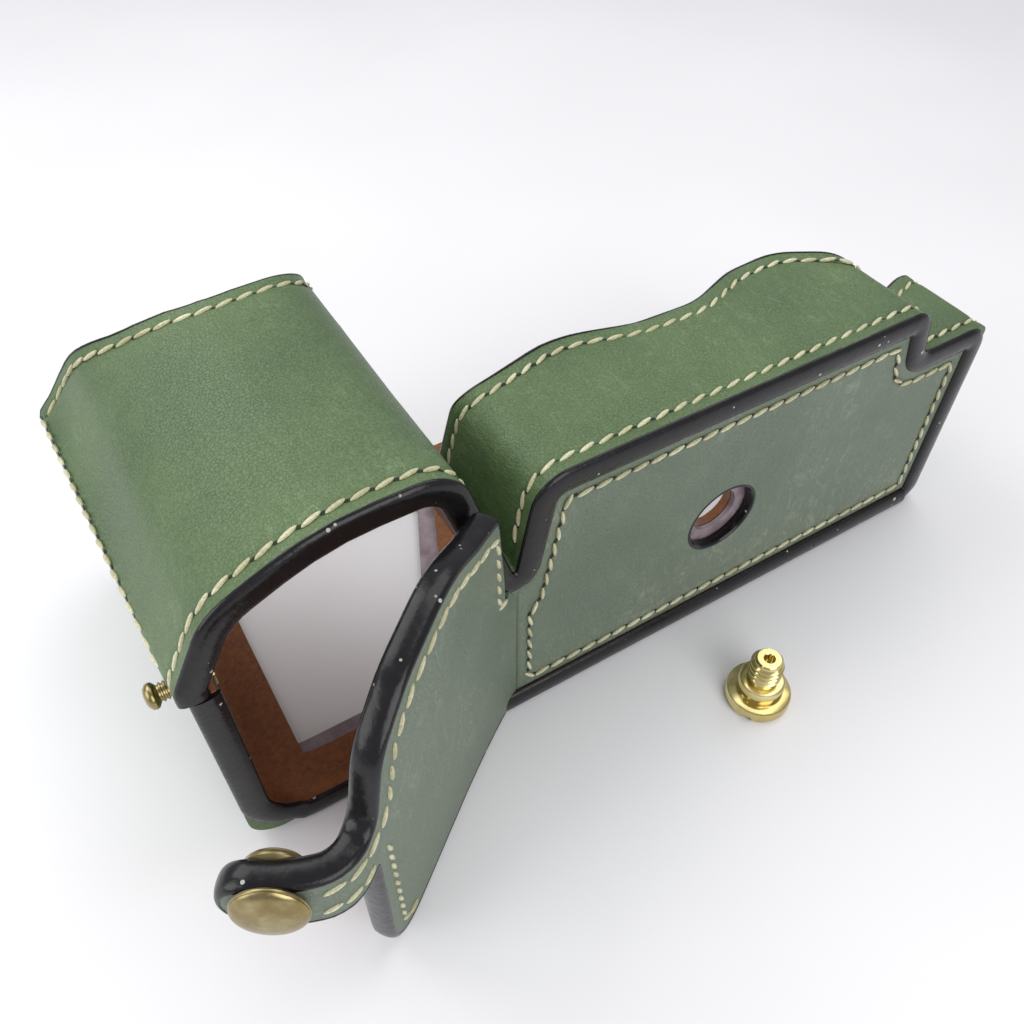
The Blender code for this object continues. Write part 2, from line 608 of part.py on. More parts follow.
side_x = FOOT[0] - THREAD_LIFT + 0.3 * MM
wire("grip_side_thread",
     [Vector((side_x, y, SEAM_Z + 1.6 * MM)) for y in (9 * MM, 30 * MM, 50 * MM, GRIP_FAR_FOOT - 4 * MM)],
     THREAD_R, LINEN, whole)
seam_line = panel_outline(SEAM_IN - 0.6 * MM)
wire("bottom_panel_thread",
     [Vector((p.x, -PANEL_THREAD_LIFT, p.y)) for p in spread(seam_line, SEAM_STEP)[:-1]],
     THREAD_R, LINEN, whole, closed=True)
lining_top = WALL + THREAD_LIFT
wire("back_near_thread",
     [Vector((x, 3.0 * MM, lining_top)) for x in (BACK_LEFT + 3 * MM, BACK_LEFT + 20 * MM, -2 * MM)],
     THREAD_R, SUEDE, whole)

DOOR_SEAM = inset(LEAF, SEAM_IN, True)
door_line = rounded(DOOR_SEAM, True)
door_line = [p for p in door_line if p.x > LEAF_END + 1 * MM]
wire("door_thread", [Vector((p.x, OUTER_FACE - THREAD_LIFT, p.y)) for p in spread(door_line, SEAM_STEP)],
     THREAD_R, LINEN, door)
seam_w = STRAP_W / 2 - 1.3 * MM
strap_far = STRAP_HINGE_X - CREASE_GAP - 0.5 * MM
strap_near = SNAP_X + CAP_R + 0.8 * MM
wire("strap_thread",
     [Vector((strap_far, OUTER_FACE - THREAD_LIFT, STUD_Z + seam_w)),
      Vector((strap_near, OUTER_FACE - THREAD_LIFT, STUD_Z + seam_w))],
     THREAD_R, LINEN, strap)

# The frame is moved so that the origin is under the middle of the box.
bpy.context.view_layer.update()
depsgraph = bpy.context.evaluated_depsgraph_get()
spots = []
for piece in case.objects:
    if piece.type != "EMPTY":
        seen = piece.evaluated_get(depsgraph)
        spots += [seen.matrix_world @ vertex.co for vertex in seen.to_mesh().vertices]
        seen.to_mesh_clear()
middle_x = (min(p.x for p in spots) + max(p.x for p in spots)) / 2
middle_y = (min(p.y for p in spots) + max(p.y for p in spots)) / 2
whole.location = (-middle_x, -middle_y, 0)
bpy.context.view_layer.update()
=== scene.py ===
import math

import bmesh
import bpy
from mathutils import Matrix, Vector, noise


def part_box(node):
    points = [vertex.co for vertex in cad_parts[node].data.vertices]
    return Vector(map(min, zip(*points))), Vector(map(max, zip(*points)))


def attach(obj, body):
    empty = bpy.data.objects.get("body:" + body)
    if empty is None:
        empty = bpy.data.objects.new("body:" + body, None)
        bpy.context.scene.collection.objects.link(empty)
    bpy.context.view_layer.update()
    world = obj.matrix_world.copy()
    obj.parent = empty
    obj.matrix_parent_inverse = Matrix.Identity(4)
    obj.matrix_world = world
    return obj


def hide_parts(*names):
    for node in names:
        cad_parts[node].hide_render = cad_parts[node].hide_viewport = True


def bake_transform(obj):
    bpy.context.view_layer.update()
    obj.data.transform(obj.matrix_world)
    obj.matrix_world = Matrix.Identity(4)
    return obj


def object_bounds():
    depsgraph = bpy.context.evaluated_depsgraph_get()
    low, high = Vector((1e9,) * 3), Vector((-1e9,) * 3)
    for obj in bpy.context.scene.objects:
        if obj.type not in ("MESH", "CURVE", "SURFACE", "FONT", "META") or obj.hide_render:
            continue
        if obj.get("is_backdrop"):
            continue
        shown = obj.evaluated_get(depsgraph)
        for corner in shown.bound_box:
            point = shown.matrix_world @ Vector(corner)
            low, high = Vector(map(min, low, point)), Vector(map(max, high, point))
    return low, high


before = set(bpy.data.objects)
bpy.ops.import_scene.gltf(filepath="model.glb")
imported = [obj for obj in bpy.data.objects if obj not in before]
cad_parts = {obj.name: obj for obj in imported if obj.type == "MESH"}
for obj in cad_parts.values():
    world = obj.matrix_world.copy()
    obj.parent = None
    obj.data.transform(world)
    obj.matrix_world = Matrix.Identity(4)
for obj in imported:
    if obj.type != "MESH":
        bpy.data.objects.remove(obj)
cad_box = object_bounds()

# Table, lights and camera.
# The case lies on its back on a pale table in soft, even light from above and behind.  All lengths
# below are millimetres, measured from the foot of the battery door's fold.
FOLD_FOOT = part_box("bottom_panel")[0] - Vector((0.0012, 0, 0))
FOLD_FOOT.z = 0
TO_ROW = Matrix.Translation(FOLD_FOOT) @ Matrix.Scale(0.001, 4)


class Socket:
    """One output of a shader node.  Sums written with it add their own Math nodes."""

    def __init__(self, tree, link):
        self.tree = tree
        self.link = link

    def maths(self, operation, first, second):
        step = self.tree.nodes.new("ShaderNodeMath")
        step.operation = operation
        for place, value in zip(step.inputs, (first, second)):
            if isinstance(value, Socket):
                self.tree.links.new(value.link, place)
            else:
                place.default_value = value
        return Socket(self.tree, step.outputs[0])

    def __add__(self, other):
        return self.maths("ADD", self, other)

    def __radd__(self, other):
        return self.maths("ADD", other, self)

    def __sub__(self, other):
        return self.maths("SUBTRACT", self, other)

    def __rsub__(self, other):
        return self.maths("SUBTRACT", other, self)

    def __mul__(self, other):
        return self.maths("MULTIPLY", self, other)

    def __gt__(self, other):
        return self.maths("GREATER_THAN", self, other)

    def __abs__(self):
        return self.maths("ABSOLUTE", self, 0)


class Finish:
    """A material whose look is worked out by nodes from each piece's own coordinates."""

    def __init__(self, name, **constants):
        self.material = bpy.data.materials.new(name)
        self.material.use_nodes = True
        self.tree = self.material.node_tree
        self.shader = self.tree.nodes["Principled BSDF"]
        for socket, value in constants.items():
            self.shader.inputs[socket.replace("_", " ")].default_value = value
        self.place = self.node("ShaderNodeTexCoord", {}, {}, "Object")

    def node(self, kind, settings, sockets, output=0):
        """A new node's output: its sockets are given values, or links from other nodes."""
        made = self.tree.nodes.new(kind)
        for name, value in settings.items():
            setattr(made, name, value)
        for name, value in sockets.items():
            if isinstance(value, Socket):
                self.tree.links.new(value.link, made.inputs[name])
            else:
                made.inputs[name].default_value = value
        return Socket(self.tree, made.outputs[output])

    def noise(self, scale, detail=3.0, rough=0.5, stretch=(1, 1, 1), turn=(0, 0, 0), warp=0.0):
        """A cloudy value; scale is in lumps per metre, and stretch squeezes it along an axis."""
        place = self.node("ShaderNodeMapping", {},
                          {"Vector": self.place, "Scale": stretch, "Rotation": turn})
        return self.node("ShaderNodeTexNoise", {"noise_dimensions": "3D"},
                         {"Vector": place, "Scale": scale, "Detail": detail, "Roughness": rough,
                          "Distortion": warp})

    def spread(self, value, low, high):
        """value, stretched so that low becomes 0 and high becomes 1."""
        return self.node("ShaderNodeMapRange", {"interpolation_type": "SMOOTHSTEP"},
                         {"Value": value, "From Min": low, "From Max": high})

    def mix(self, share, one, other):
        """One colour where share is 0, and the other where it is 1."""
        return self.node("ShaderNodeMix", {"data_type": "RGBA"}, {0: share, 6: one, 7: other}, 2)

    def set(self, **links):
        """Links into the finish's own shader, by the names of its inputs."""
        for socket, value in links.items():
            self.tree.links.new(value.link, self.shader.inputs[socket.replace("_", " ")])

    def bump(self, height, depth):
        """Relief of depth metres."""
        self.set(Normal=self.node("ShaderNodeBump", {},
                                  {"Height": height, "Distance": depth, "Strength": 1.0}))


def built(name, work, finish, body=None):
    """The finished piece: its mesh goes from millimetres into place, and it rides on its body.

    A piece with no body is a stage, or stays fixed where it is built.
    """
    bmesh.ops.transform(work, matrix=TO_ROW, verts=work.verts)
    mesh = bpy.data.meshes.new(name)
    work.to_mesh(mesh)
    work.free()
    mesh.shade_smooth()
    mesh.set_sharp_from_angle(angle=math.radians(38))
    mesh.materials.append(finish.material)
    made = bpy.data.objects.new(name, mesh)
    bpy.context.scene.collection.objects.link(made)
    if body:
        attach(made, body)
    return made


table_top = Finish("table_top", Roughness=0.55)
cloud = table_top.noise(9, 2)
table_top.set(Base_Color=table_top.mix(table_top.spread(cloud, 0.3, 0.7),
                                       (0.80, 0.79, 0.80, 1), (0.83, 0.82, 0.83, 1)))
work = bmesh.new()
bmesh.ops.create_grid(work, x_segments=1, y_segments=1, size=1500)
table = built("table", work, table_top)
table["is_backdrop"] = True

camera = bpy.data.cameras.new("camera")
camera.lens = 32.84
camera.sensor_width = 36
camera.clip_start = 0.01
eye = bpy.data.objects.new("camera", camera)
eye.location = TO_ROW @ Vector((-47.85, -79.99, 160.0))
eye.rotation_euler = (math.radians(41.889), 0, math.radians(-31.008))
bpy.context.scene.collection.objects.link(eye)
bpy.context.scene.camera = eye
bpy.context.scene.view_settings.view_transform = "Standard"

sky = bpy.data.worlds.new("room")
sky.use_nodes = True
sky.node_tree.nodes["Background"].inputs["Color"].default_value = (0.93, 0.95, 1.0, 1)
sky.node_tree.nodes["Background"].inputs["Strength"].default_value = 0.50
bpy.context.scene.world = sky
for name, place, size, power in (
        ("window_light", (-160, 330, 420), 380, 1.15),
        ("ceiling_light", (260, 120, 520), 420, 1.0),
        ("front_fill", (20, -480, 330), 420, 1.7),
        ("side_light", (-430, 40, 230), 300, 0.8)):
    lamp = bpy.data.lights.new(name, "AREA")
    lamp.size = size * 0.001
    lamp.energy = power
    holder = bpy.data.objects.new(name, lamp)
    holder.location = TO_ROW @ Vector(place)
    way = TO_ROW @ Vector((25, 20, 20)) - holder.location
    holder.rotation_euler = way.to_track_quat("-Z", "Y").to_euler()
    bpy.context.scene.collection.objects.link(holder)

# Front leather.
# One piece of green pull-up leather, wet-moulded over the camera's front and sewn to the walls.
# Its section is a path of corners (across, up, radius), and its far edge is another, seen from above.
OUTER = 2.0                # thickness of the leather
WALL = 4.0                 # leather and suede together
NEAR = -0.8                # the mouth's edges, in front of the bottom panel
LENGTH = 109.0             # from the fold to the right end
LEFT = -52.0               # the left end
RIM = 0.9                  # depth of the painted edge
SEAM = 3.4                 # stitches to edge
GRIP_PATH = [
    (-53.3, 46.4, 0), (-53.3, 49.2, 5), (-46.2, 62.3, 14), (-29.0, 69.8, 40), (-8.4, 69.8, 8.5),
    (0.8, 39.4, 0.5)]
FRONT_PATH = [
    (0.8, 39.4, 0.5), (4.6, 59.9, 7), (88.2, 59.9, 5), (90.8, 48.8, 2.5), (LENGTH, 48.8, 5),
    (LENGTH, 43.8, 0)]
FRONT_FAR = [
    (111, 20.8, 0), (105, 20.8, 4), (93, 16.8, 4), (84, 24.7, 8), (76, 29.4, 14), (64, 28.6, 14),
    (53, 24.3, 14), (40, 24.7, 16), (25, 29.0, 22), (7, 24.3, 14), (0.8, 28.6, 0), (-6, 29.8, 0)]
GRIP_FAR = [
    (-0.9, 30, 0), (-0.9, 71, 2), (-10, 56.5, 8), (-26, 56.0, 20), (-42, 62.0, 20), (-51, 71, 4),
    (-58, 72, 0)]


def corner_arc(before, here, after, radius):
    """A rounded corner's centre, the way from it to the arc's first point, and the angle it turns."""
    back = Vector(before[:2]) - here
    ahead = Vector(after[:2]) - here
    half = back.angle(ahead) / 2
    reach = min(radius / math.tan(half), 0.49 * back.length, 0.49 * ahead.length)
    radius = reach * math.tan(half)
    middle = here + (back.normalized() + ahead.normalized()).normalized() * (radius / math.sin(half))
    start = here + back.normalized() * reach - middle
    return middle, start, start.angle_signed(here + ahead.normalized() * reach - middle)


def rounded(corners, closed=False, step=1.3, arc=8.0):
    """A path's points: arcs at its corners, and its straight parts cut to about step."""
    points = []
    count = len(corners)
    for i, (x, z, radius) in enumerate(corners):
        here = Vector((x, z))
        if radius <= 0 or not closed and i in (0, count - 1):
            points.append(here)
            continue
        middle, start, turn = corner_arc(corners[i - 1], here, corners[(i + 1) % count], radius)
        bends = max(2, round(math.degrees(abs(turn)) / arc))
        for bend in range(bends + 1):
            points.append(middle + Matrix.Rotation(-turn * bend / bends, 2) @ start)
    cut = []
    for one, other in zip(points, points[1:] + points[:1] if closed else points[1:]):
        parts = max(1, round((other - one).length / step))
        cut += [one.lerp(other, part / parts) for part in range(parts)]
    return cut if closed else cut + [points[-1]]


def sides(points):
    """For each point of a path, the unit direction to the path's left, lengthened at bends."""
    out = []
    for i, here in enumerate(points):
        before = here - points[i - 1] if i else points[1] - here
        after = points[i + 1] - here if i < len(points) - 1 else before
        before = before.normalized()
        after = after.normalized()
        side = Vector((-before.y - after.y, before.x + after.x))
        out.append(side * 2 / max(side.length_squared, 0.6))
    return out


def skin(loops, closed_path=False):
    """Faces through closed loops of points that are all as long as each other, open at its ends."""
    work = bmesh.new()
    across = len(loops[0])
    along = len(loops) - (0 if closed_path else 1)
    bmesh.ops.create_grid(work, x_segments=across, y_segments=along, size=1)
    for vert in work.verts:
        i = round((vert.co.x + 1) / 2 * across) % len(loops[0])
        j = round((vert.co.y + 1) / 2 * along) % len(loops)
        vert.co = loops[j][i]
    bmesh.ops.remove_doubles(work, verts=work.verts, dist=0.0005)
    return work


def loft(loops, closed_path=False):
    """A skin through loops, with its ends closed."""
    work = skin(loops, closed_path)
    open_edges = [edge for edge in work.edges if edge.is_boundary]
    if open_edges:
        bmesh.ops.holes_fill(work, edges=open_edges)
    bmesh.ops.recalc_face_normals(work, faces=work.faces)
    return work


def reach_at(line, x):
    """The far edge's distance at a place across."""
    for one, other in zip(line, line[1:]):
        if min(one.x, other.x) <= x <= max(one.x, other.x) and abs(one.x - other.x) > 1e-6:
            return one.y + (other.y - one.y) * (x - one.x) / (other.x - one.x)
    return line[-1].y


def dent(distance):
    """How deep the leather is pulled in by a seam this far away."""
    deepest, reach = 0.34, 0.75
    return deepest * math.exp(-(distance / reach) ** 2)


def swell(point, much=0.22):
    """Slight unevenness of hand-shaped leather."""
    broad = 22.0
    return noise.noise(point / broad) * much + noise.noise(point / (broad * 0.27)) * much * 0.3


EDGE_ROWS = [0.9, 1.2, 1.7, 2.2, 2.6, 3.0, 3.4, 3.8, 4.2, 4.7, 5.4, 6.6]  # closer near the seam
FAR_OFF = 99.0             # too far from a seam to be pulled in by it


def strip_loops(section, far_line, flare=None):
    """Loops of a moulded panel: out along its outer side from mouth to far edge, and back inside."""
    points = rounded(section)
    out_dirs = sides(points)
    far = [reach_at(far_line, p.x) for p in points]
    loops = []
    for i, (point, side) in enumerate(zip(points, out_dirs)):
        before = max(i - 1, 0)
        after = min(i + 1, len(points) - 1)
        run = max((points[after] - points[before]).length, 1e-6)
        slope = (far[after] - far[before]) / run
        tilt = math.sqrt(1 + min(abs(slope), 2.0) ** 2)
        rows = [(NEAR + d, d, FAR_OFF) for d in EDGE_ROWS]
        low = NEAR + EDGE_ROWS[-1]
        high = far[i] - EDGE_ROWS[-1] * tilt
        steps = 14
        rows += [(low + (high - low) * k / steps, FAR_OFF, FAR_OFF) for k in range(1, steps)]
        rows += [(far[i] - d * tilt, FAR_OFF, d) for d in EDGE_ROWS[::-1]]
        loop = []
        for y, near_gap, far_gap in rows:
            spot = Vector((point.x, y, point.y))
            out = swell(spot) - dent(near_gap - SEAM) - dent(far_gap - SEAM)
            loop.append(Vector((point.x + side.x * out, y, point.y + side.y * out)))
        inner = OUTER - 0.02
        for y, _, _ in rows[::-6] + rows[:1]:
            loop.append(Vector((point.x - side.x * inner, y, point.y - side.y * inner)))
        loops.append(flare(loop, point, i) if flare else loop)
    return loops


def leather(name, dark, mid, pale, streak=(1, 1, 1), turn=(0, 0, 0), crackle=1.0):
    """Waxed pull-up leather: fine pebbling, and pale creases where the wax has cracked."""
    made = Finish(name, Roughness=0.5)
    patches = made.noise(38, 4, 0.55)
    drift = made.noise(11, 2, 0.5)
    creases = 1 - abs(made.noise(260, 6, 0.62, streak, turn, 0.9) * 2 - 1)
    fine = 1 - abs(made.noise(620, 5, 0.6, streak, turn, 1.2) * 2 - 1)
    lines = made.spread(creases, 0.93, 1.0) * made.spread(patches, 0.35, 0.75)
    hairs = made.spread(fine, 0.90, 1.0) * made.spread(drift, 0.38, 0.62)
    pebble = made.node("ShaderNodeTexVoronoi", {"feature": "DISTANCE_TO_EDGE"},
                       {"Vector": made.place, "Scale": 1500.0})
    speck = made.noise(2600, 2, 0.5)
    base = made.mix(made.spread(patches, 0.3, 0.72), dark, mid)
    base = made.mix(made.spread(speck, 0.35, 0.75) * 0.25, base, pale)
    marked = made.mix(made.spread(lines * 0.7 + hairs * 0.45, 0.0, 1.0) * crackle, base, pale)
    made.set(Base_Color=marked,
             Roughness=made.spread(patches, 0.2, 0.9) * 0.14 + made.spread(speck, 0.2, 0.8) * 0.06 + 0.36)
    grain = made.spread(pebble, 0.0, 0.12) * 0.3 + creases * 0.35 + patches * 0.6
    made.bump(grain - lines * 0.5 - hairs * 0.25, 0.00016)
    return made


green = leather("green_leather", (0.048, 0.094, 0.029, 1), (0.086, 0.146, 0.050, 1), (0.24, 0.31, 0.17, 1),
                (1.0, 0.42, 0.8), (0, 0, 0.6), 0.5)
grip_far_line = rounded(GRIP_FAR, step=0.7)
front_far_line = rounded(FRONT_FAR, step=0.7)
SPLIT_X = -0.6             # in the crease, where the grip's leather ends and the front's starts
FLARE = 3.0                # how far the grip's left edge spreads at its far end
FLARE_OVER = 9.0           # points of the section that spread with it
GRIP_REACH = 72.0          # depth of the grip's left edge


def grip_flare(loop, point, i):
    """The grip's left edge spreads outwards, more towards its far end."""
    share = max(0.0, 1 - i / FLARE_OVER) ** 2
    for spot in loop:
        along = min(max(spot.y / GRIP_REACH, 0), 1)
        spot.x -= share * FLARE * along ** 0.8
    return loop


grip_points = rounded(GRIP_PATH)
cut_at = next(i for i, p in enumerate(grip_points) if p.x > SPLIT_X - 0.01 and p.y < 60)
grip_loops = strip_loops(GRIP_PATH, grip_far_line, grip_flare)[:cut_at + 1]
built("grip_leather", loft(grip_loops), green, "case")
FRONT_SECTION = [GRIP_PATH[4]] + FRONT_PATH
front_points = rounded(FRONT_SECTION)
skip = next(i for i, p in enumerate(front_points) if p.x > SPLIT_X - 0.01 and p.y < 60)
front_loops = strip_loops(FRONT_SECTION, front_far_line)[skip:]
front_leather = built("front_leather", loft(front_loops), green, "case")
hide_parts("front_panel")

# End walls.
# The same green leather, one piece at each end, turned in under the back.  The left one is as deep as
# the grip, and the right one slopes down to the back's far edge.
LEFT_WALL = [(-39.4, 0, 0), (LEFT, 0, 12), (LEFT, 46.2, 0)]
RIGHT_WALL = [(LENGTH, 43.8, 0), (LENGTH, 0, 5), (103.4, 0, 0)]


def wall_loops(section, outer, inner, near, far):
    """Loops of a plain wall layer between two depths; far gives its far edge at a height."""
    points = rounded(section)
    loops = []
    for point, side in zip(points, sides(points)):
        end = far(point.y)
        start = near + 2.5
        loop = []
        rows = [near, near + 0.6, start] + [start + (end - start) * k / 12 for k in range(1, 13)]
        for y in rows:
            out = swell(Vector((point.x, y, point.y)), 0.12) - outer
            loop.append(Vector((point.x + side.x * out, y, point.y + side.y * out)))
        for y in rows[::-3] + rows[:1]:
            loop.append(Vector((point.x - side.x * inner, y, point.y - side.y * inner)))
        loops.append(loop)
    return loops


SLOPE_FOOT = 18            # the right wall's far edge slopes above this height
LEFT_END = 72.2            # the left wall's far edge


def right_end(z):
    """The right wall's far edge at a height."""
    if z <= SLOPE_FOOT:
        return 65.0 + 2.2 * (SLOPE_FOOT - z) / SLOPE_FOOT
    return 65.0 - (z - SLOPE_FOOT) / 25.7 * 44.2


left_wall = built("left_wall_leather",
                  loft(wall_loops(LEFT_WALL, 0, OUTER - 0.02, NEAR + RIM, lambda z: LEFT_END)),
                  green, "case")
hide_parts("left_end_wall")
right_wall = built("right_wall_leather",
                   loft(wall_loops(RIGHT_WALL, 0, OUTER - 0.02, NEAR + RIM, lambda z: right_end(z) - RIM)),
                   green, "case")
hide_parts("right_end_wall")

# Suede lining.
# Brown split suede, glued inside the leather of the front and the walls and sewn with it.
suede = Finish("brown_suede", Roughness=0.95)
suede.shader.inputs["Sheen Weight"].default_value = 0.25
suede.shader.inputs["Sheen Roughness"].default_value = 0.6
nap = suede.noise(900, 5, 0.7, (1, 1, 1), (0, 0, 0), 0.6)
brushed = suede.noise(60, 4, 0.6)
suede.set(Base_Color=suede.mix(suede.spread(nap * 0.6 + brushed * 0.4, 0.3, 0.7),
                               (0.14, 0.043, 0.010, 1), (0.32, 0.112, 0.026, 1)))
suede.bump(nap * 0.7 + brushed * 0.3, 0.0003)


def lining_loops(section, far_line, first=0, last=None):
    """Loops of the suede inside a moulded panel, from one point of its section to another."""
    points = rounded(section)
    loops = []
    for point, side in zip(points, sides(points)):
        far = reach_at(far_line, point.x) - RIM
        rows = [NEAR + RIM + (far - NEAR - RIM) * k / 12 for k in range(13)]
        loops.append([Vector((point.x - side.x * OUTER, y, point.y - side.y * OUTER)) for y in rows]
                     + [Vector((point.x - side.x * WALL, y, point.y - side.y * WALL)) for y in rows[::-1]])
    return loops[first:last]


grip_lining = built("grip_lining", loft(lining_loops(GRIP_PATH, grip_far_line, 2, cut_at + 1)), suede,
                    "case")
front_lining = built("front_lining_suede",
                     loft(lining_loops(FRONT_SECTION, front_far_line, skip)), suede,
                     "case")
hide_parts("front_lining")
LEFT_INSIDE = [(-38.8, 0, 0)] + LEFT_WALL[1:]
left_lining = built("left_wall_lining",
                    loft(wall_loops(LEFT_INSIDE, OUTER, WALL + 0.05, NEAR + RIM, lambda z: LEFT_END - RIM)),
                    suede, "case")
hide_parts("left_end_lining")
right_lining = built("right_wall_lining",
                     loft(wall_loops(RIGHT_WALL, OUTER, WALL, NEAR + RIM, lambda z: right_end(z) - RIM)),
                     suede, "case")
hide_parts("right_end_lining")

# Painted edges.
# Every cut edge is sanded round through leather and lining together and sealed with black edge paint,
# which picks up pale dust.
paint = Finish("edge_paint", Roughness=0.34)
paint.shader.inputs["Specular IOR Level"].default_value = 0.32
worn = paint.noise(160, 4, 0.6)
rough_spots = paint.noise(900, 4, 0.6)
dust = paint.node("ShaderNodeTexVoronoi", {"feature": "F1"}, {"Vector": paint.place, "Scale": 420.0})
dust_size = paint.noise(230, 2, 0.5)
specks = (0.05 + paint.spread(dust_size, 0.45, 0.8) * 0.14) > dust
paint.set(Base_Color=paint.mix(specks * paint.spread(dust_size, 0.5, 0.62),
                               paint.mix(worn, (0.004, 0.004, 0.0045, 1), (0.012, 0.011, 0.0125, 1)),
                               (0.42, 0.42, 0.38, 1)),
          Roughness=paint.spread(rough_spots, 0.3, 0.8) * 0.125 + 0.17 + specks * 0.3)
paint.bump(worn * 0.7 + rough_spots * 0.3, 0.00016)

FOOT_WIDE = 1.14           # the mouth's foot is this much wider, to cover the back's layers
FOOT_PROUD = 0.5           # and it stands out by this much
BEAD = [(-0.08, 1.0), (-0.08, 0.75), (0.12, 0.42), (0.55, 0.14), (1.2, -0.02), (2.0, -0.08), (2.8, -0.02),
        (3.45, 0.14), (3.88, 0.42), (4.08, 0.75), (4.08, 1.0), (2.0, 1.0)]


def edge_bead(points, outs, tips, thick=False):
    """A painted edge along points: outs point away from the leather's face, tips beyond its edge."""
    loops = []
    for point, out, tip in zip(points, outs, tips):
        lump = 1 + 0.10 * noise.noise(point / 6.0)
        wide = FOOT_WIDE if thick and point.y < NEAR else 1
        loops.append([point - out * (depth * wide) - tip * (back * lump) for depth, back in BEAD])
    return loft(loops)


def in_space(points, y):
    """A section's points, stood at a depth."""
    return [Vector((p.x, y, p.y)) for p in points]


MOUTH_PATH = GRIP_PATH[:-1] + FRONT_PATH[:-1] + [(LENGTH, 0, 5), (LEFT, 0, 12), (LEFT, 46.0, 0)]
mouth = rounded(MOUTH_PATH)
mouth_line = [Vector((p.x, NEAR - (FOOT_PROUD if p.y < 2 and -44 < p.x < 106 else 0), p.y)) for p in mouth]
built("mouth_edge",
      edge_bead(mouth_line, in_space(sides(mouth), 0), [Vector((0, -1, 0))] * len(mouth), thick=True),
      paint, "case")


def far_rim(section, far_line, first, last):
    """Frames along a far edge: its points, the leather's outward side and the way past the edge."""
    points = rounded(section)
    outs = sides(points)
    spots = [Vector((p.x, reach_at(far_line, p.x), p.y)) for p in points][first:last]
    outs = [Vector((s.x, 0, s.y)).normalized() for s in outs][first:last]
    tips = []
    for i, spot in enumerate(spots):
        run = spots[min(i + 1, len(spots) - 1)] - spots[max(i - 1, 0)]
        tip = outs[i].cross(run).normalized()
        tips.append(tip if tip.y > 0 else -tip)
    return spots, outs, tips


grip_rim = far_rim(GRIP_PATH, grip_far_line, 0, cut_at + 1)
for spot in grip_rim[0][:9]:
    spot.x -= max(0.0, 1 - grip_rim[0].index(spot) / FLARE_OVER) ** 2 * FLARE
built("grip_far_edge", edge_bead(*grip_rim), paint, "case")
front_rim = far_rim(FRONT_SECTION, front_far_line, skip, None)
built("front_far_edge", edge_bead(*front_rim), paint, "case")

slope_z = [43.6 - k * 1.2 for k in range(22)] + [SLOPE_FOOT - k * 1.5 for k in range(1, 9)]
slope_points = [Vector((LENGTH, right_end(z), z)) for z in slope_z]
slope_tips = []
for i in range(len(slope_points)):
    run = slope_points[min(i + 1, len(slope_points) - 1)] - slope_points[max(i - 1, 0)]
    slope_tips.append(Vector((0, -run.z, run.y)).normalized())
built("right_wall_edge",
      edge_bead(slope_points, [Vector((1, 0, 0))] * len(slope_points), slope_tips),
      paint, "case")
left_points = rounded(LEFT_WALL)
built("left_wall_edge",
      edge_bead(in_space(left_points, 73.0), in_space(sides(left_points), 0),
                [Vector((0, 1, 0))] * len(left_points)),
      paint, "case")

# Waxed thread.
# Saddle-stitched by hand with cream waxed linen: each stitch is a slanted bead between two awl holes.
thread = Finish("waxed_thread", Roughness=0.55)
twist = thread.noise(2400, 3, 0.6)
soil = thread.noise(120, 3, 0.5)
thread.set(Base_Color=thread.mix(thread.spread(twist * 0.5 + soil * 0.5, 0.35, 0.7),
                                 (0.42, 0.39, 0.22, 1), (0.74, 0.72, 0.50, 1)))
thread.bump(twist, 0.0002)
STITCH_SLANT = 14.0        # degrees from the seam
STITCH_WIDTH = 0.38        # half a stitch's width
# Painted shade: the awl holes get a near-black green that stands in for the shadow inside each hole.
hole_painted_shade = Finish("awl_hole_painted_shade", Roughness=0.9)
hole_painted_shade.set(Base_Color=hole_painted_shade.mix(hole_painted_shade.noise(900),
                                       (0.010, 0.014, 0.008, 1), (0.022, 0.030, 0.018, 1)))


def upright(ahead, out):
    """A frame whose first axis runs along the seam and whose third points away from the leather."""
    return Matrix((ahead, out.cross(ahead).normalized(), out)).transposed().to_4x4()


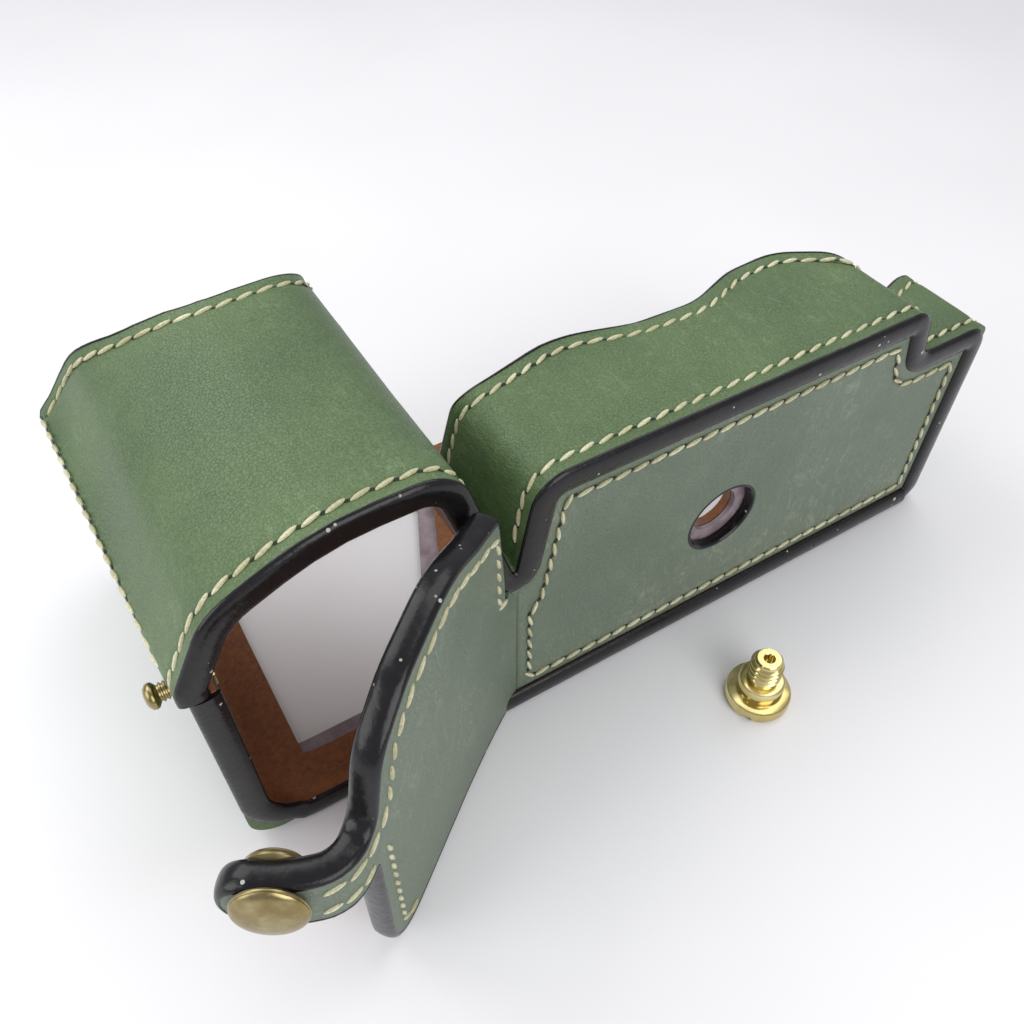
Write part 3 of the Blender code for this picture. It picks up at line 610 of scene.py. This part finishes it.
def stitches(name, line, outs, body, pitch=3.6, sink=0.30, closed=False):
    """Slanted beads along a seam on the leather, with a dark pit between each two: painted shade in the awl
    holes.
    """
    lengths = [0.0]
    path = line + line[:1] if closed else line
    faces = outs + outs[:1] if closed else outs
    for one, other in zip(path, path[1:]):
        lengths.append(lengths[-1] + (other - one).length)
    count = max(1, round(lengths[-1] / pitch))
    pitch = lengths[-1] / count

    def along(distance):
        i = 0
        while i < len(path) - 2 and lengths[i + 1] < distance:
            i += 1
        share = (distance - lengths[i]) / max(lengths[i + 1] - lengths[i], 1e-9)
        share = min(max(share, 0), 1)
        return path[i].lerp(path[i + 1], share), faces[i].lerp(faces[i + 1], share).normalized()

    work = bmesh.new()
    for k in range(count):
        start, _ = along(k * pitch)
        end, _ = along((k + 1) * pitch)
        middle, out = along((k + 0.5) * pitch)
        middle = (start + end) / 2 * 0.35 + middle * 0.65
        ahead = (end - start).normalized()
        out = ahead.cross(out.cross(ahead).normalized()).normalized()
        axes = upright(ahead, out)
        wobble = noise.noise(middle * 0.9) * 4
        bead = (Matrix.Translation(middle - out * (sink - 0.16)) @ axes
                @ Matrix.Rotation(math.radians(STITCH_SLANT + wobble), 4, "Z")
                @ Matrix.Diagonal((pitch * 0.47, STITCH_WIDTH, 0.42, 1))
                @ Matrix.Rotation(math.pi / 2, 4, "Y"))
        bmesh.ops.create_uvsphere(work, u_segments=8, v_segments=6, radius=1, matrix=bead)
    for k in range(count + (0 if closed else 1)):
        spot, out = along(k * pitch)
        further, _ = along(min(k * pitch + 0.5, lengths[-1]))
        nearer, _ = along(max(k * pitch - 0.5, 0))
        axes = upright((further - nearer).normalized(), out)
        pit = (Matrix.Translation(spot - out * (sink + 0.02)) @ axes
               @ Matrix.Diagonal((0.55, 0.42, 0.10, 1)))
        made = bmesh.ops.create_uvsphere(work, u_segments=7, v_segments=4, radius=1, matrix=pit)
        # the pits take the painted-shade finish of the awl holes
        for vert in made["verts"]:
            for face in vert.link_faces:
                face.material_index = 1
    piece = built(name, work, thread, body)
    piece.data.materials.append(hole_painted_shade.material)
    return piece


def mouth_seam(name, points, chosen):
    """Stitches along the mouth of a moulded panel, past the chosen points of its section."""
    outs = sides(points)
    return stitches(name, [Vector((points[i].x, NEAR + SEAM, points[i].y)) for i in chosen],
                    [Vector((outs[i].x, 0, outs[i].y)).normalized() for i in chosen], "case")


grip_near = mouth_seam("grip_mouth_stitches", grip_points,
                       [i for i, p in enumerate(grip_points) if p.y > 46.8][:cut_at - 2])
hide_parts("grip_mouth_thread")
front_near = mouth_seam("front_mouth_stitches", front_points,
                        [i for i, p in enumerate(front_points) if i > skip + 6 and p.y > 44])
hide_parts("front_near_thread")


def rim_seam(frames, first, last):
    """A seam's path, set back from a far edge."""
    spots, outs, tips = frames
    return [spot - tip * SEAM for spot, tip in zip(spots, tips)][first:last], outs[first:last]


grip_far_stitches = stitches("grip_far_stitches", *rim_seam(grip_rim, 2, cut_at - 3), "case")
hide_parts("grip_far_thread")
front_far_stitches = stitches("front_far_stitches", *rim_seam(front_rim, 10, -2), "case")
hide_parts("front_far_thread")
side_line = []
side_outs = []
for k in range(40):
    y = 6 + k * (68.0 - 6) / 39
    side_line.append(Vector((GRIP_PATH[0][0] - FLARE * (y / GRIP_REACH) ** 0.8, y, 48.2)))
    side_outs.append(Vector((-0.96, 0, 0.28)).normalized())
side_stitches = stitches("grip_side_stitches", side_line, side_outs, "case")
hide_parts("grip_side_thread")

# Bottom panel.
# Grey-green leather, set in between the painted wall edges and sewn all round, with a black-edged hole
# for the tripod screw's flange.
grey_green = leather("grey_green_leather", (0.088, 0.122, 0.080, 1), (0.128, 0.160, 0.112, 1),
                     (0.29, 0.34, 0.26, 1), (0.9, 1.0, 0.35), (0, 0.35, 0), 0.7)
PANEL_PATH = [GRIP_PATH[4]] + FRONT_PATH[:-1] + [(LENGTH, 0, 5), (LEFT, 0, 0)]
PANEL_LEFT = 1.2           # the panel's edge beside the fold
PANEL_IN = 4.15            # from the walls' outer sides to the panel
PANEL_ARC = 16             # pieces of each rounded corner
LEFT_CUTS = 26             # pieces of the left edge
HOLE = (46.6, 27.7)
HOLE_R = 7.25


def inset(corners, depth):
    """The same corners, moved to the right of the path."""
    spots = [Vector(corner[:2]) for corner in corners]
    moved = []
    for i, (x, z, radius) in enumerate(corners):
        before = spots[i] - spots[i - 1] if i > 0 else spots[1] - spots[0]
        after = spots[i + 1] - spots[i] if i < len(corners) - 1 else before
        before = before.normalized()
        after = after.normalized()
        side = Vector((before.y + after.y, -before.x - after.x))
        side = side / side.length_squared * 2
        grown = radius + depth * (1 if before.cross(after) > 0 else -1)
        spot = spots[i] + side * depth
        moved.append((spot.x, spot.y, max(grown, 0.4) if radius > 0 else 0))
    return moved


PANEL_CUTS = [max(1, round((Vector(b[:2]) - Vector(a[:2])).length / 1.6))
              for a, b in zip(PANEL_PATH, PANEL_PATH[1:])]
PANEL_CUTS[-1] = 74
APEX = PANEL_CUTS[0] + PANEL_ARC // 2   # the point of the path that is deepest in the crease


def rounded_fixed(corners):
    """Points of the panel's path, as many for each inset."""
    points = []
    for i, (x, z, radius) in enumerate(corners):
        here = Vector((x, z))
        if i in (0, len(corners) - 1):
            points.append([here])
            continue
        middle, start, turn = corner_arc(corners[i - 1], here, corners[i + 1], radius)
        points.append([middle + Matrix.Rotation(-turn * k / PANEL_ARC, 2) @ start
                       for k in range(PANEL_ARC + 1)])
    out = []
    for part, following, cuts in zip(points, points[1:], PANEL_CUTS):
        out += part
        out += [part[-1].lerp(following[0], k / cuts) for k in range(1, cuts)]
    out.append(Vector((PANEL_LEFT, out[-1].y)))
    return out


def panel_ring(margin):
    """The bottom panel's outline, margin inside the walls and the fold, clockwise from the crease."""
    left = PANEL_LEFT + margin
    ring = [Vector((max(point.x, left), point.y))
            for point in rounded_fixed(inset(PANEL_PATH, PANEL_IN + margin))[APEX:]]
    foot = Vector((left, ring[-1].y))
    return ring + [foot.lerp(ring[0], k / LEFT_CUTS) for k in range(LEFT_CUTS)]


def panel_loops():
    """Outlines of the panel from its back edge over its rounded front edge, and into the seam's groove."""
    loops = []
    for margin, y in (
            (0.0, 2.0), (0.0, 0.5), (0.12, 0.2), (0.4, 0.0), (1.0, -0.05), (1.6, 0.0), (2.1, 0.12),
            (2.5, 0.26), (2.9, 0.28), (3.3, 0.12), (3.8, 0.02), (4.6, -0.04), (6.0, -0.02)):
        loops.append([Vector((p.x, y, p.y)) for p in panel_ring(margin)])
    return loops


def holed(loops, hole_centre, hole_radius, front_y, back_y):
    """A panel from rings of its edge: both faces are filled round a hole, and the hole has a wall."""
    work = skin(loops)
    rims = [edge for edge in work.edges if edge.is_boundary]
    back_rim = [edge for edge in rims if all(abs(v.co.y - loops[0][0].y) < 1e-4 for v in edge.verts)]
    front_rim = [edge for edge in rims if edge not in back_rim]
    hole_rings = []
    for y, rim in ((front_y, front_rim), (back_y, back_rim)):
        turn = (Matrix.Translation((hole_centre[0], y, hole_centre[1]))
                @ Matrix.Rotation(math.pi / 2, 4, "X"))
        ring = bmesh.ops.create_circle(work, segments=64, radius=hole_radius, matrix=turn)["verts"]
        ring_edges = list({edge for vert in ring for edge in vert.link_edges})
        hole_rings.append(ring_edges)
        bmesh.ops.triangle_fill(work, use_beauty=True, edges=rim + ring_edges)
    bmesh.ops.bridge_loops(work, edges=hole_rings[0] + hole_rings[1])
    bmesh.ops.recalc_face_normals(work, faces=work.faces)
    return work


bottom_leather = built("bottom_leather", holed(panel_loops(), HOLE, HOLE_R + 0.5, -0.02, 2.0), grey_green,
                       "case")
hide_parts("bottom_panel")
seam_ring = panel_ring(2.7)
bottom_stitches = stitches("bottom_stitches", [Vector((p.x, 0.0, p.y)) for p in seam_ring],
                           [Vector((0, -1, 0))] * len(seam_ring), "case", sink=0.1, closed=True)
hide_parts("bottom_panel_thread")
hole_loops = []
for k in range(64):
    angle = 2 * math.pi * k / 64
    out = Vector((math.cos(angle), 0, math.sin(angle)))
    hole_loops.append([Vector((HOLE[0], 0, HOLE[1])) + out * r + Vector((0, y, 0)) for r, y in
                       ((HOLE_R + 0.9, 0.02), (HOLE_R + 0.6, -0.10), (HOLE_R + 0.25, -0.06), (HOLE_R, 0.22),
                        (HOLE_R - 0.02, 1.8), (HOLE_R + 0.6, 2.1), (HOLE_R + 0.9, 1.0))])
built("hole_edge", loft(hole_loops, closed_path=True), paint, "case")

# Battery door, its fold and its strap.
# The bottom leather runs on across a vertical fold, doubled with suede, as the battery door, and narrows
# to the strap, which holds its curl.  Above the fold the door is slit free of the case.
BEND_AT = 50.5             # along the leather from the fold, where the strap starts to curl
BEND_END = 57.0            # and where it runs straighter again
LEAN = 0.0244              # how far the open door leans out for its height
STRAP_Z = 43               # height of the strap's middle line
CURVE_STEP = 0.1           # between the points of the leather's curve
CURVE_POINTS = 900
FOLD_SIDE = 10.0           # the leather nearer the fold than this bends with it
DOOR_WALL = 4.0


def heading(s):
    """Degrees that the leather has turned away from the closed door, at a distance from the fold."""
    if s < BEND_AT:
        return 34.0 + 4.5 * min(max((s - 2) / 20, 0), 1)
    if s < BEND_END:
        return 38.5 - 54.2 * (s - BEND_AT) / (BEND_END - BEND_AT)
    return -15.7 - 19.3 * min((s - BEND_END) / 8, 1)


curve_points = [Vector((-0.15, -0.05))]
for k in range(CURVE_POINTS):
    turn = math.radians(heading(k * CURVE_STEP))
    curve_points.append(curve_points[-1] - Vector((math.cos(turn), math.sin(turn))) * CURVE_STEP)


def door_point(x, z, depth):
    """Where a point of the flat leather lies: x is minus its distance from the fold."""
    s = -x
    if s <= 0:
        return Vector((x, depth, z))
    k = min(int(s * 10), CURVE_POINTS - 1)
    spot = curve_points[k].lerp(curve_points[k + 1], s * 10 - k)
    turn = math.radians(heading(s))
    curl = min(max((s - BEND_AT) / (BEND_END - BEND_AT), 0), 1)
    lean = (LEAN * z) * (1 - curl) + (LEAN * STRAP_Z - 0.05 * (z - STRAP_Z)) * curl
    away = min(s / 3.0, 1)
    out = Vector((math.sin(turn), -math.cos(turn)))
    blend_out = Vector((0, -1)).lerp(out, away).normalized()
    spot = spot + blend_out * (lean * away - depth)
    return Vector((spot.x, spot.y, z))


def door_normal(x, z):
    """The way out of the door's green side."""
    turn = math.radians(heading(max(-x, 0)))
    return Vector((math.sin(turn), -math.cos(turn), 0))


DOOR_PATH = [
    (-FOLD_SIDE, 0.9, 0), (-48.4, 0.9, 8.5), (-48.8, 37.8, 0.7), (-54, 37.5, 5), (-69.4, 38.6, 4.6),
    (-69.4, 47.6, 4.6), (-48.0, 47.2, 4), (-44.2, 59.2, 9), (-36, 64.8, 14), (-22.8, 67.2, 20),
    (-14, 63.6, 10), (-FOLD_SIDE, 62.6, 0)]
FOLD_PATH = [
    (1.15, 0.9, 0), (-FOLD_SIDE, 0.9, 0), (-FOLD_SIDE, 62.6, 0), (-7.0, 61.8, 1.4), (-4.3, 44, 1.0),
    (-3.9, 39.2, 1.2), (1.15, 36.6, 0)]


def leaf(path, front, back, step=1.1):
    """A flat layer with this outline, between two depths, bent into place."""
    outline = rounded(path, True, step)
    work = skin([in_space(outline, back), in_space(outline, front)])
    rims = [edge for edge in work.edges if edge.is_boundary]
    for depth in (back, front):
        bmesh.ops.triangle_fill(work, use_beauty=True, edges=[
            edge for edge in rims if all(abs(vert.co.y - depth) < 1e-4 for vert in edge.verts)])
    for x in [-3.0, -4.5, -6, -8] + [-12 - 4 * k for k in range(10)] + [-51 - k for k in range(16)]:
        bmesh.ops.bisect_plane(work, geom=work.verts[:] + work.edges[:] + work.faces[:], dist=0.0001,
                               plane_co=(x, 0, 0), plane_no=(1, 0, 0))
    bmesh.ops.recalc_face_normals(work, faces=work.faces)
    for vert in work.verts:
        vert.co = door_point(vert.co.x, vert.co.z, vert.co.y)
    return work


def bend_with(piece, bodies, start, end):
    """The piece's placement is baked into its mesh; it is not bent between bodies, and bodies is not used.
    """
    TO_ROW @ start
    TO_ROW @ end
    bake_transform(piece)


STRAP_JOINT = (door_point(-50, STRAP_Z, 2), door_point(-62, STRAP_Z, 2))
FOLD_JOINT = (Vector((0.6, 0.5, 30)), door_point(-FOLD_SIDE, 30, 0))
door_leather = built("door_leather", leaf(DOOR_PATH, 0, OUTER), grey_green)
bend_with(door_leather, ("door", "strap"), *STRAP_JOINT)
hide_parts("door_outer", "strap_outer")
door_suede = built("door_suede", leaf(DOOR_PATH, OUTER, DOOR_WALL - 0.05), suede)
bend_with(door_suede, ("door", "strap"), *STRAP_JOINT)
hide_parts("door_lining", "strap_lining")
fold_leather = built("fold_leather", leaf(FOLD_PATH, 0, OUTER, 0.8), grey_green)
bend_with(fold_leather, ("case", "door"), *FOLD_JOINT)
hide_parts("door_fold")


def door_bead(points):
    """The painted edge along part of the door's outline."""
    tips = sides(points)
    spots = []
    outs = []
    ways = []
    for p, tip in zip(points, tips):
        spots.append(door_point(p.x, p.y, 0))
        outs.append(door_normal(p.x, p.y))
        tip = tip.normalized()
        further = door_point(p.x + tip.x * 0.1, p.y + tip.y * 0.1, 0)
        ways.append((further - spots[-1]).normalized())
    ways = [way if way.length > 0.5 else Vector((0, 0, 1)) for way in ways]
    beyond = 0.75
    return edge_bead([spot + way * beyond for spot, way in zip(spots, ways)], outs, ways)


outline = rounded(DOOR_PATH, False, 1.1)
door_edge = built("door_edge", door_bead(outline), paint)
bend_with(door_edge, ("door", "strap"), *STRAP_JOINT)
fold_top = rounded([(-FOLD_SIDE, 62.6, 0), (-7.0, 61.8, 1.4), (-6.6, 60.2, 0)], False, 0.6)
fold_edge = built("fold_top_edge", door_bead(fold_top), paint)
bend_with(fold_edge, ("case", "door"), *FOLD_JOINT)
fold_foot = rounded([(-0.5, 0.9, 0), (-FOLD_SIDE, 0.9, 0)], False, 0.8)
fold_foot_edge = built("fold_foot_edge", door_bead(fold_foot), paint)
bend_with(fold_foot_edge, ("case", "door"), *FOLD_JOINT)


def seam_on_door(path):
    """A seam's path on the door's green side, and the way out of the leather along it."""
    line = rounded(path, False, 0.8)
    return [door_point(p.x, p.y, 0) for p in line], [door_normal(p.x, p.y) for p in line]


door_top = stitches("door_top_stitches", *seam_on_door(
    [(-10.2, 59.6, 0), (-14, 60.6, 10), (-22.8, 64.0, 18), (-35, 61.8, 12), (-41.2, 57.2, 8),
     (-44.6, 47.0, 5), (-48.5, 44.9, 5), (-57.0, 45.1, 0)]), None, sink=0.1)
bend_with(door_top, ("door", "strap"), *STRAP_JOINT)
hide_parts("door_thread")
strap_low = stitches("strap_low_stitches", *seam_on_door(
    [(-49.6, 39.9, 0), (-57.6, 40.2, 0)]), None, sink=0.1)
bend_with(strap_low, ("door", "strap"), *STRAP_JOINT)
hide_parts("strap_thread")
stitches("door_end_stitches", *seam_on_door(
    [(-46.0, 38.6, 0), (-45.4, 6.0, 6), (-41.0, 4.0, 0)]), "door", sink=0.1, pitch=3.3)
slit_stitches = stitches("slit_stitches", *seam_on_door(
    [(-10.0, 59.6, 0), (-7.4, 58.4, 1.5), (-6.4, 41, 0.8), (-5.4, 39.4, 1), (-3.2, 39.0, 0)]), None,
    sink=0.1, pitch=3.3)
bend_with(slit_stitches, ("case", "door"), *FOLD_JOINT)

# Snap.
# An antique brass cap with a rolled rim, clinched through the strap to a socket on its suede side, and the
# stud that it closes on, screwed through the left wall.
old_brass = Finish("old_brass", Metallic=1.0)
tarnish = old_brass.noise(420, 4, 0.6)
smear = old_brass.noise(90, 3, 0.5)
old_brass.set(Base_Color=old_brass.mix(old_brass.spread(tarnish * 0.5 + smear * 0.5, 0.35, 0.7),
                                       (0.24, 0.185, 0.075, 1), (0.42, 0.36, 0.20, 1)),
              Roughness=old_brass.spread(smear, 0.3, 0.7) * 0.14 + 0.22)
old_brass.bump(tarnish, 0.00004)


def turned(profile, spot, axis, steps=64):
    """A turned piece: (radius, height) round an axis, closed at both ends."""
    work = bmesh.new()
    verts = [work.verts.new((radius, 0, height)) for radius, height in profile]
    for one, other in zip(verts, verts[1:]):
        work.edges.new((one, other))
    bmesh.ops.spin(work, geom=work.verts[:] + work.edges[:], cent=(0, 0, 0), axis=(0, 0, 1),
                   dvec=(0, 0, 0), angle=2 * math.pi, steps=steps, use_merge=True,
                   use_duplicate=False)
    bmesh.ops.remove_doubles(work, verts=work.verts, dist=0.0005)
    bmesh.ops.recalc_face_normals(work, faces=work.faces)
    turn = Vector((0, 0, 1)).rotation_difference(Vector(axis)).to_matrix().to_4x4()
    bmesh.ops.transform(work, matrix=Matrix.Translation(spot) @ turn, verts=work.verts)
    return work


SNAP_S = -62.8
SNAP_Z = 44.3
cap_out = (door_normal(SNAP_S, SNAP_Z) + Vector((0, 0, 0.16))).normalized()
cap_spot = door_point(SNAP_S, SNAP_Z, -0.45)
DOME_CUTS = 12
dome = [(4.95 * math.sin(math.pi / 2 * k / DOME_CUTS), 0.55 + 1.25 * math.cos(math.pi / 2 * k / DOME_CUTS))
        for k in range(DOME_CUTS)]
cap = built("snap_cap_dome", turned(
    [(0, 1.8)] + dome[1:] + [
        (4.90, 0.62), (4.98, 0.60), (5.05, 0.45), (5.05, 0.25), (4.95, 0.08), (4.7, 0.0),
        (3.4, 0.0), (3.0, -0.4), (3.0, -2.4), (0, -2.4)], cap_spot, cap_out),
    old_brass, "strap")
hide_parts("snap_cap")
socket_spot = door_point(SNAP_S, SNAP_Z, DOOR_WALL - 0.1)
socket = built("snap_socket_ring", turned(
    [(1.9, -1.0), (1.9, 0.9), (2.2, 1.25), (2.6, 1.3), (3.0, 1.15), (3.3, 1.2), (3.7, 1.15), (4.05, 0.85),
     (4.3, 0.35), (4.3, 0.0), (3.6, -0.5), (1.9, -1.0)], socket_spot, -cap_out),
    old_brass, "strap")
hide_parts("snap_socket", "snap_spring")

stud_low, stud_high = [TO_ROW.inverted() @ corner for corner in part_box("snap_stud")]
stud_spot = Vector((stud_high.x, (stud_low.y + stud_high.y) / 2, (stud_low.z + stud_high.z) / 2))
reach = stud_high.x - stud_low.x
stud = built("snap_stud_turned", turned(
    [(0, reach), (0.9, reach - 0.05), (1.5, reach - 0.25), (1.95, reach - 0.65), (2.1, reach - 1.1),
     (1.95, reach - 1.55), (1.5, reach - 1.9), (1.25, reach - 2.05), (1.25, reach - 2.3),
     (1.5, reach - 2.4), (1.5, reach - 2.6), (1.25, reach - 2.7), (1.25, reach - 2.95),
     (1.5, reach - 3.05), (1.5, reach - 3.25), (1.25, reach - 3.35), (1.25, 0.75), (2.2, 0.6),
     (2.6, 0.35), (2.6, 0.0), (0, 0.0)],
    stud_spot, (-1, 0, 0), 40), old_brass, "case")
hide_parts("snap_stud")

# Tripod screw.
# Turned from brass bar and polished: a flange slotted for a coin, a shoulder, a groove, and a short
# quarter-inch thread with a small bore in its end.
bright = Finish("polished_brass", Metallic=1.0)
lathe = bright.noise(700, 3, 0.6, (0.15, 0.15, 4.0))
grease = bright.noise(160, 3, 0.5)
bright.set(Base_Color=bright.mix(bright.spread(grease, 0.3, 0.7),
                                 (0.60, 0.48, 0.19, 1), (0.84, 0.73, 0.38, 1)),
           Roughness=bright.spread(grease, 0.3, 0.8) * 0.14 + 0.15)
bright.bump(lathe, 0.00001)
screw_low, screw_high = [TO_ROW.inverted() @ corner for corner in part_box("tripod_screw")]
screw_axis = Vector(((screw_low.x + screw_high.x) / 2, (screw_low.y + screw_high.y) / 2, 0))
screw_top = screw_high.z
flange_r = (screw_high.x - screw_low.x) / 2
UP = (0, 0, 1)
screw_base = built("tripod_screw_body", turned(
    [(0, 7.3), (2.5, 7.3), (2.5, 6.9), (2.7, 6.3), (3.9, 6.3), (4.25, 6.15), (4.4, 5.85), (4.4, 3.0),
     (4.25, 2.75), (4.6, 2.65), (flange_r - 0.5, 2.6), (flange_r - 0.15, 2.45), (flange_r, 2.1),
     (flange_r, 0.5), (flange_r - 0.15, 0.15), (flange_r - 0.5, 0), (0, 0)], screw_axis, UP, 96),
    bright, "screw")
SLOT_TURN = 30             # degrees
SLOT_WIDTH = 1.7
slot_tool = bmesh.new()
bmesh.ops.create_cube(slot_tool, size=1, matrix=(
    Matrix.Translation(screw_axis) @ Matrix.Rotation(math.radians(SLOT_TURN), 4, "Z")
    @ Matrix.Diagonal((flange_r * 2.4, SLOT_WIDTH, 2.4, 1))))
bmesh.ops.transform(slot_tool, matrix=TO_ROW, verts=slot_tool.verts)
tool_mesh = bpy.data.meshes.new("coin_slot")
slot_tool.to_mesh(tool_mesh)
slot_tool.free()
tool = bpy.data.objects.new("coin_slot", tool_mesh)
bpy.context.scene.collection.objects.link(tool)
cut = screw_base.modifiers.new("coin_slot", "BOOLEAN")
cut.operation = "DIFFERENCE"
cut.object = tool
bpy.context.view_layer.update()
slotted = bpy.data.meshes.new_from_object(screw_base.evaluated_get(bpy.context.evaluated_depsgraph_get()))
screw_base.modifiers.clear()
screw_base.data = slotted
bpy.data.objects.remove(tool)
THREAD_PITCH = 1.27        # twenty to the inch
TURN = 36                  # pieces of each turn
thread_low = 7.1
thread_high = screw_top - 0.75
loops = []
count = int(TURN * ((thread_high - thread_low) / THREAD_PITCH))
for k in range(count + 1):
    angle = 2 * math.pi * k / TURN
    fade = min(k / 10, 1, (count - k) / 10)  # the thread runs out at both ends
    z = thread_low + THREAD_PITCH * k / TURN
    out = Vector((math.cos(angle), math.sin(angle), 0))
    crest = 2.55 + 0.62 * max(fade, 0.02)
    loops.append([
        screw_axis + out * radius + Vector((0, 0, z + rise)) for radius, rise in
        ((2.3, -0.60), (2.6, -0.50), (crest, -0.12), (crest, 0.12), (2.6, 0.50), (2.3, 0.60))])
built("tripod_screw_thread", loft(loops), bright, "screw")
built("tripod_screw_core", turned(
    [(0, 7.0), (2.6, 7.0), (2.6, thread_high + 0.1), (2.45, screw_top - 0.25), (2.2, screw_top),
     (1.15, screw_top), (1.0, screw_top - 0.15), (1.0, screw_top - 2.2), (0, screw_top - 2.2)],
    screw_axis, UP, 48),
    bright, "screw")
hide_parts("tripod_screw")

# Back, boards and washer.
# The back is plain leather over a thin grey board and brown suede.  The board shows as a ledge round the
# grip's window.  A stiffer board backs the bottom panel.
board = Finish("board", Roughness=0.3)
film = board.noise(300, 3, 0.5)
board.set(Base_Color=board.mix(board.spread(film, 0.3, 0.7), (0.20, 0.15, 0.17, 1), (0.33, 0.27, 0.29, 1)))
board.bump(film, 0.00005)
for node, finish in (
        ("back_panel", green), ("back_stiffener", board), ("back_lining", suede), ("bottom_board", board),
        ("bottom_lining", suede), ("back_near_thread", suede), ("stud_washer", old_brass)):
    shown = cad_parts[node]
    shown.data.materials.clear()
    shown.data.materials.append(finish.material)

size = {"cad": [list(corner) for corner in cad_box], "visual": [list(corner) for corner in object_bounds()]}
